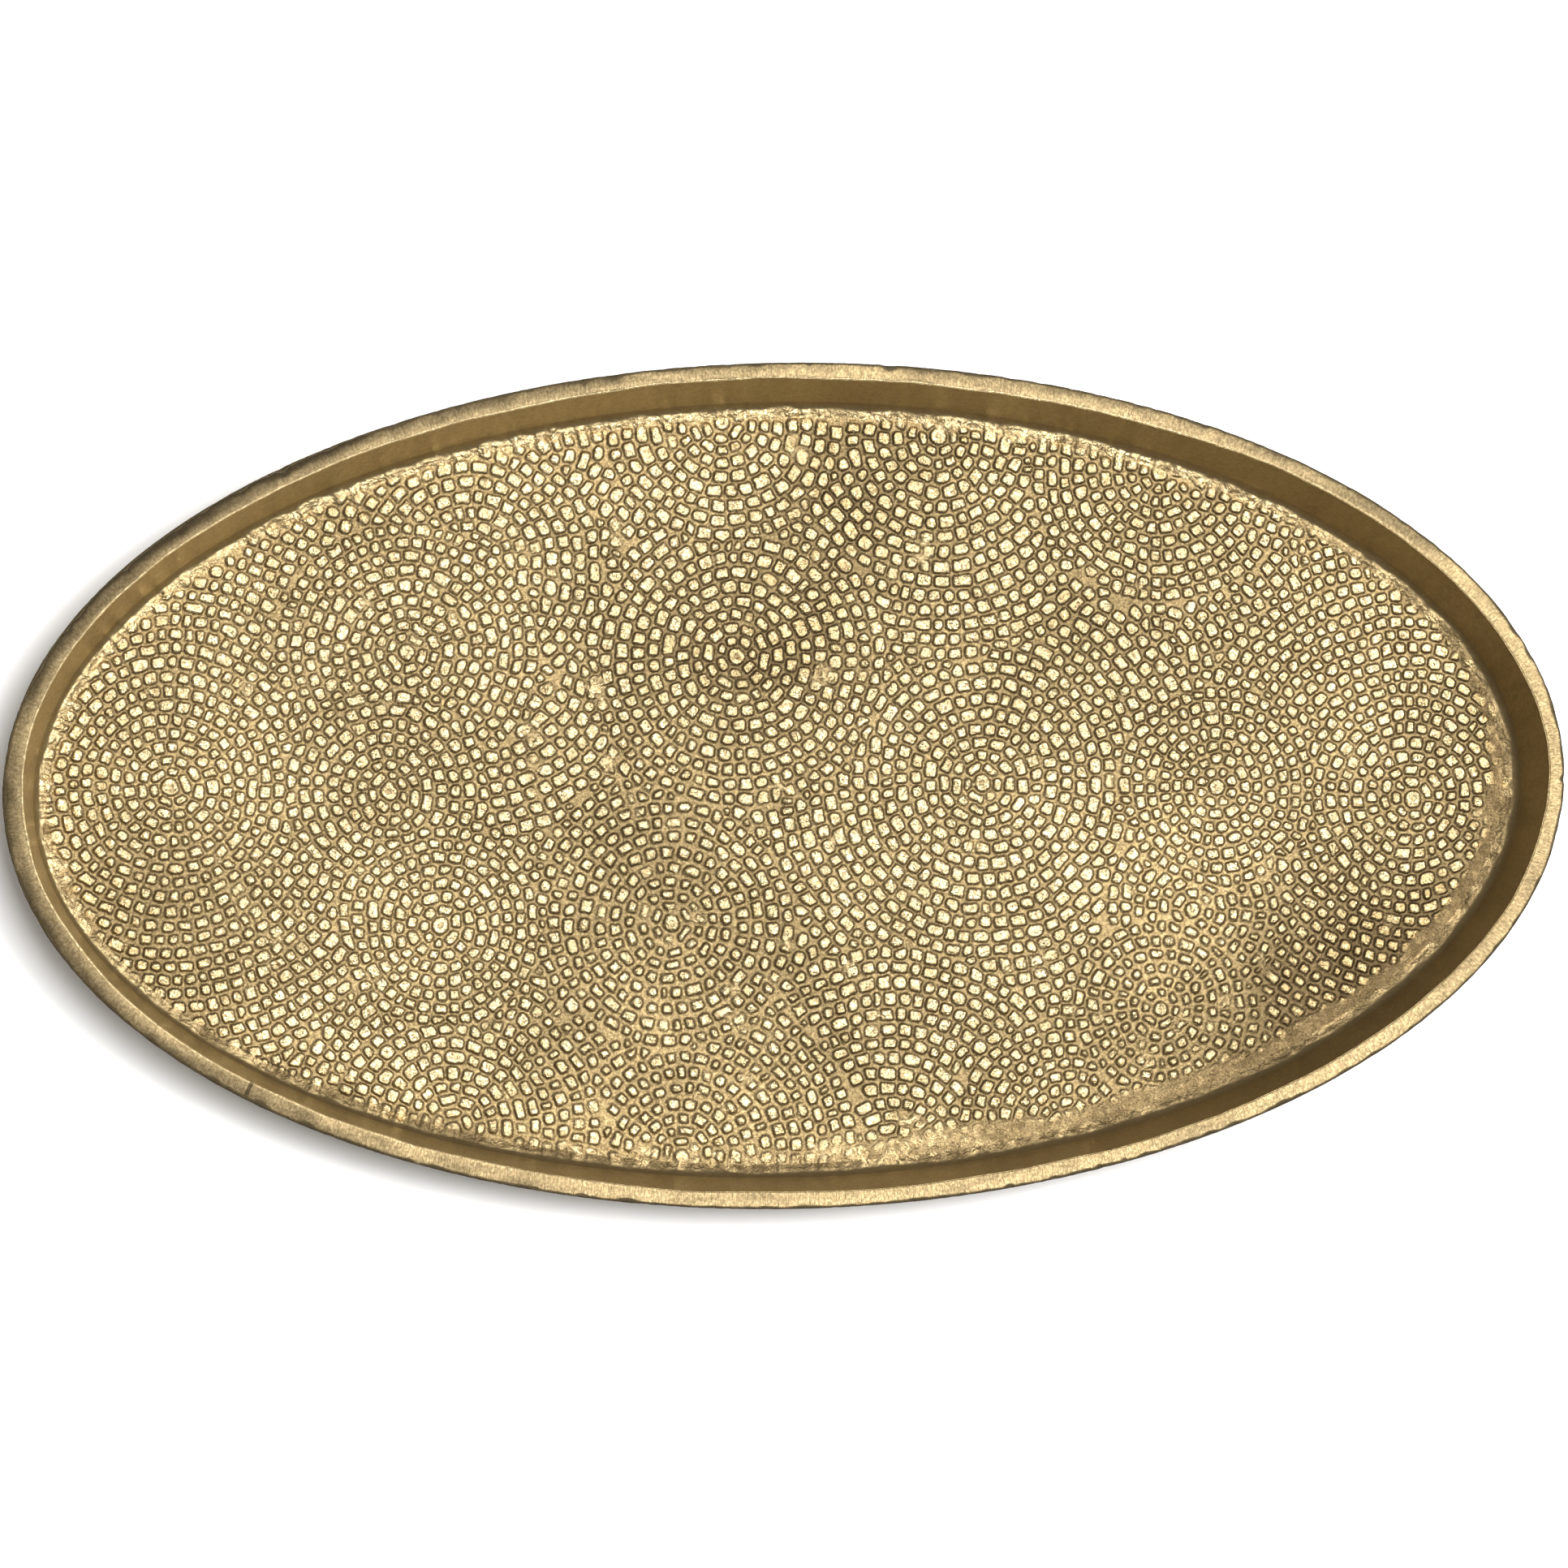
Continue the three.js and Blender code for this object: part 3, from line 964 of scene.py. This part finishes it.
def wall_colour(nodes, at):
    """Faint upright bands, browner where painted shade falls on the wall and in the cove."""
    band_place = nodes.point(nodes.times(at["around"], 0.16), nodes.times(at["across"], 0.02))
    bands = nodes.ramp(nodes.noise(band_place, 1.0, detail=4.0, roughness=0.6), 0.35, 0.65)
    banded = nodes.mix_colour(bands, WALL_DARK_BAND, WALL_PALE_BAND)
    return nodes.mix_colour(nodes.times(at["tarnish"], 0.85), banded, WALL_PAINTED_SHADE)


def land_colour(nodes, at, fine):
    """The rim's dressed metal, dark where it is stained and where painted shade falls."""
    clean = nodes.mix_colour(fine, LAND_BRIGHT, LAND_DULL)
    return nodes.mix_colour(at["hollow"], clean, LAND_STAIN_AND_SHADE)


def brass_roughness(nodes, at, fine):
    """Dull in the joints and on the sides, satin on the wall and the land."""
    dull = nodes.math("MAXIMUM", at["hollow"], at["side"])
    roughness = nodes.math("ADD", nodes.ramp(dull, 0, 1, 0.28, 0.55), nodes.ramp(fine, 0, 1, -0.05, 0.08))
    satin = nodes.math("ADD", nodes.times(at["wall"], 0.1), nodes.times(at["dressed"], 0.24))
    return nodes.math("ADD", roughness, satin)


def brass_relief(nodes, place, at):
    """Fine relief: crinkled sand-cast skin, and file marks across the dressed land."""
    skin = nodes.noise(place, SKIN_SIZE, roughness=0.75)
    smooth = nodes.math("MAXIMUM", nodes.times(at["wall"], WALL_SHARE), at["dressed"])
    rough_share = nodes.times(nodes.math("SUBTRACT", 1.0, smooth), nodes.ramp(at["hollow"], 0, 1, 1.0, 0.9))
    slant = nodes.math("MULTIPLY_ADD", at["across"], 0.12, nodes.times(at["around"], 0.1))
    file_marks = nodes.noise(nodes.point(at["around"], slant), 0.5)
    marks = nodes.times(file_marks, nodes.times(at["dressed"], 0.3))
    return nodes.math("ADD", nodes.times(skin, rough_share), marks)


def cast_brass():
    nodes = Nodes("cast_brass")
    place = nodes.object_place()
    at = {name: nodes.attribute(name) for name in Shell.VALUES}
    broad = nodes.math("SUBTRACT", 1.0, at["tarnish"], clamp=True)
    fine = nodes.ramp(nodes.noise(place, GRAIN_SIZE, detail=4.0, roughness=0.7), 0.38, 0.62)
    metal = casting_colour(nodes, place, at, broad, fine)
    metal = nodes.mix_colour(nodes.times(at["wall"], WALL_SHARE), metal, wall_colour(nodes, at))
    metal = nodes.mix_colour(at["dressed"], metal, land_colour(nodes, at, fine))
    bumps = nodes.bump(brass_relief(nodes, place, at), 1.0, SKIN_DEPTH)
    roughness = brass_roughness(nodes, at, fine)
    nodes.set_shader(base_color=metal, metallic=1.0, roughness=roughness, normal=bumps)
    return nodes.material


def foot_rubber():
    nodes = Nodes("foot_rubber")
    place = nodes.object_place()
    dust = nodes.noise(place, 0.004, detail=4.0)
    colour = nodes.mix_colour(dust, RUBBER_BLACK, RUBBER_DUSTY)
    roughness = nodes.ramp(dust, 0.2, 0.8, 0.7, 0.9)
    grain = nodes.bump(nodes.noise(place, 0.0004), 0.5, 0.00005)
    nodes.set_shader(base_color=colour, roughness=roughness, normal=grain)
    return nodes.material


def pale_floor_material():
    nodes = Nodes("pale_floor")
    nodes.set_shader(base_color=STAGE_GREY, roughness=0.9)
    return nodes.material


# ---------------------------------------------------------------- the studio


def pale_floor():
    """The stage's floor. It lies just under the feet, so that no two faces share a plane."""
    reach, level = 3.0, -0.0002  # in metres
    mesh = bpy.data.meshes.new("pale_floor")
    sides = ((-reach, -reach), (reach, -reach), (reach, reach), (-reach, reach))
    corners = [(x, y, level) for x, y in sides]
    mesh.from_pydata(corners, [], [(0, 1, 2, 3)])
    mesh.materials.append(pale_floor_material())
    floor = bpy.data.objects.new("pale_floor", mesh)
    bpy.context.collection.objects.link(floor)


def soft_light(name, place, aim, width, depth, power):
    lamp = bpy.data.lights.new(name, "AREA")
    lamp.shape = "RECTANGLE"
    lamp.size, lamp.size_y = width, depth
    lamp.energy = power
    holder = bpy.data.objects.new(name, lamp)
    holder.location = place
    holder.rotation_euler = (Vector(aim) - Vector(place)).to_track_quat("-Z", "Y").to_euler()
    bpy.context.collection.objects.link(holder)


def studio_air():
    """White all round, brightest at the horizon and below it."""
    world = bpy.data.worlds.new("studio_air")
    world.use_nodes = True
    nodes = world.node_tree.nodes
    links = world.node_tree.links
    background = nodes["Background"]
    direction = nodes.new("ShaderNodeTexCoord")
    height = nodes.new("ShaderNodeSeparateXYZ")
    glow = nodes.new("ShaderNodeMapRange")
    glow.interpolation_type = "SMOOTHSTEP"
    glow.inputs["From Max"].default_value = 0.4
    glow.inputs["To Min"].default_value = 0.75
    glow.inputs["To Max"].default_value = 0.15
    links.new(direction.outputs["Generated"], height.inputs[0])
    links.new(height.outputs["Z"], glow.inputs["Value"])
    links.new(glow.outputs["Result"], background.inputs["Strength"])
    background.inputs["Color"].default_value = (1, 1, 1, 1)
    return world


def studio():
    for softbox in SOFTBOXES:
        soft_light(*softbox)
    bpy.context.scene.world = studio_air()
    bpy.context.scene.view_settings.view_transform = "Standard"


def camera():
    """A long lens looking almost straight down, a little from the left and the front, rolled slightly."""
    towards_camera = Vector((-math.tan(LEAN_LEFT), -math.tan(LEAN_FRONT), 1)).normalized()
    right = (Vector((1, 0, 0)) - towards_camera * towards_camera.x).normalized()
    up = towards_camera.cross(right)
    turn = Matrix.Rotation(-ROLL, 3, towards_camera)
    lens = bpy.data.cameras.new("camera")
    lens.sensor_width = 36
    frame_width = 2 * HALF_LENGTH * MM * FRAME_OVER_TRAY
    lens.lens = lens.sensor_width * CAMERA_DISTANCE / frame_width
    holder = bpy.data.objects.new("camera", lens)
    axes = Matrix((turn @ right, turn @ up, towards_camera)).transposed()
    aim = Vector((-0.003, 0, RIM_Z * MM))
    holder.matrix_world = Matrix.Translation(aim + towards_camera * CAMERA_DISTANCE) @ axes.to_4x4()
    bpy.context.collection.objects.link(holder)
    bpy.context.scene.camera = holder


# ---------------------------------------------------------------- putting it together


def place_piece(piece, node, material):
    bpy.context.collection.objects.link(piece)
    piece.data.materials.append(material)
    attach(piece, "root")
    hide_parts(node)


camera()
studio()
pale_floor()
place_piece(tray_casting(), "tray_casting", cast_brass())
rubber = foot_rubber()
for foot in FEET:
    place_piece(rubber_foot(foot), foot, rubber)
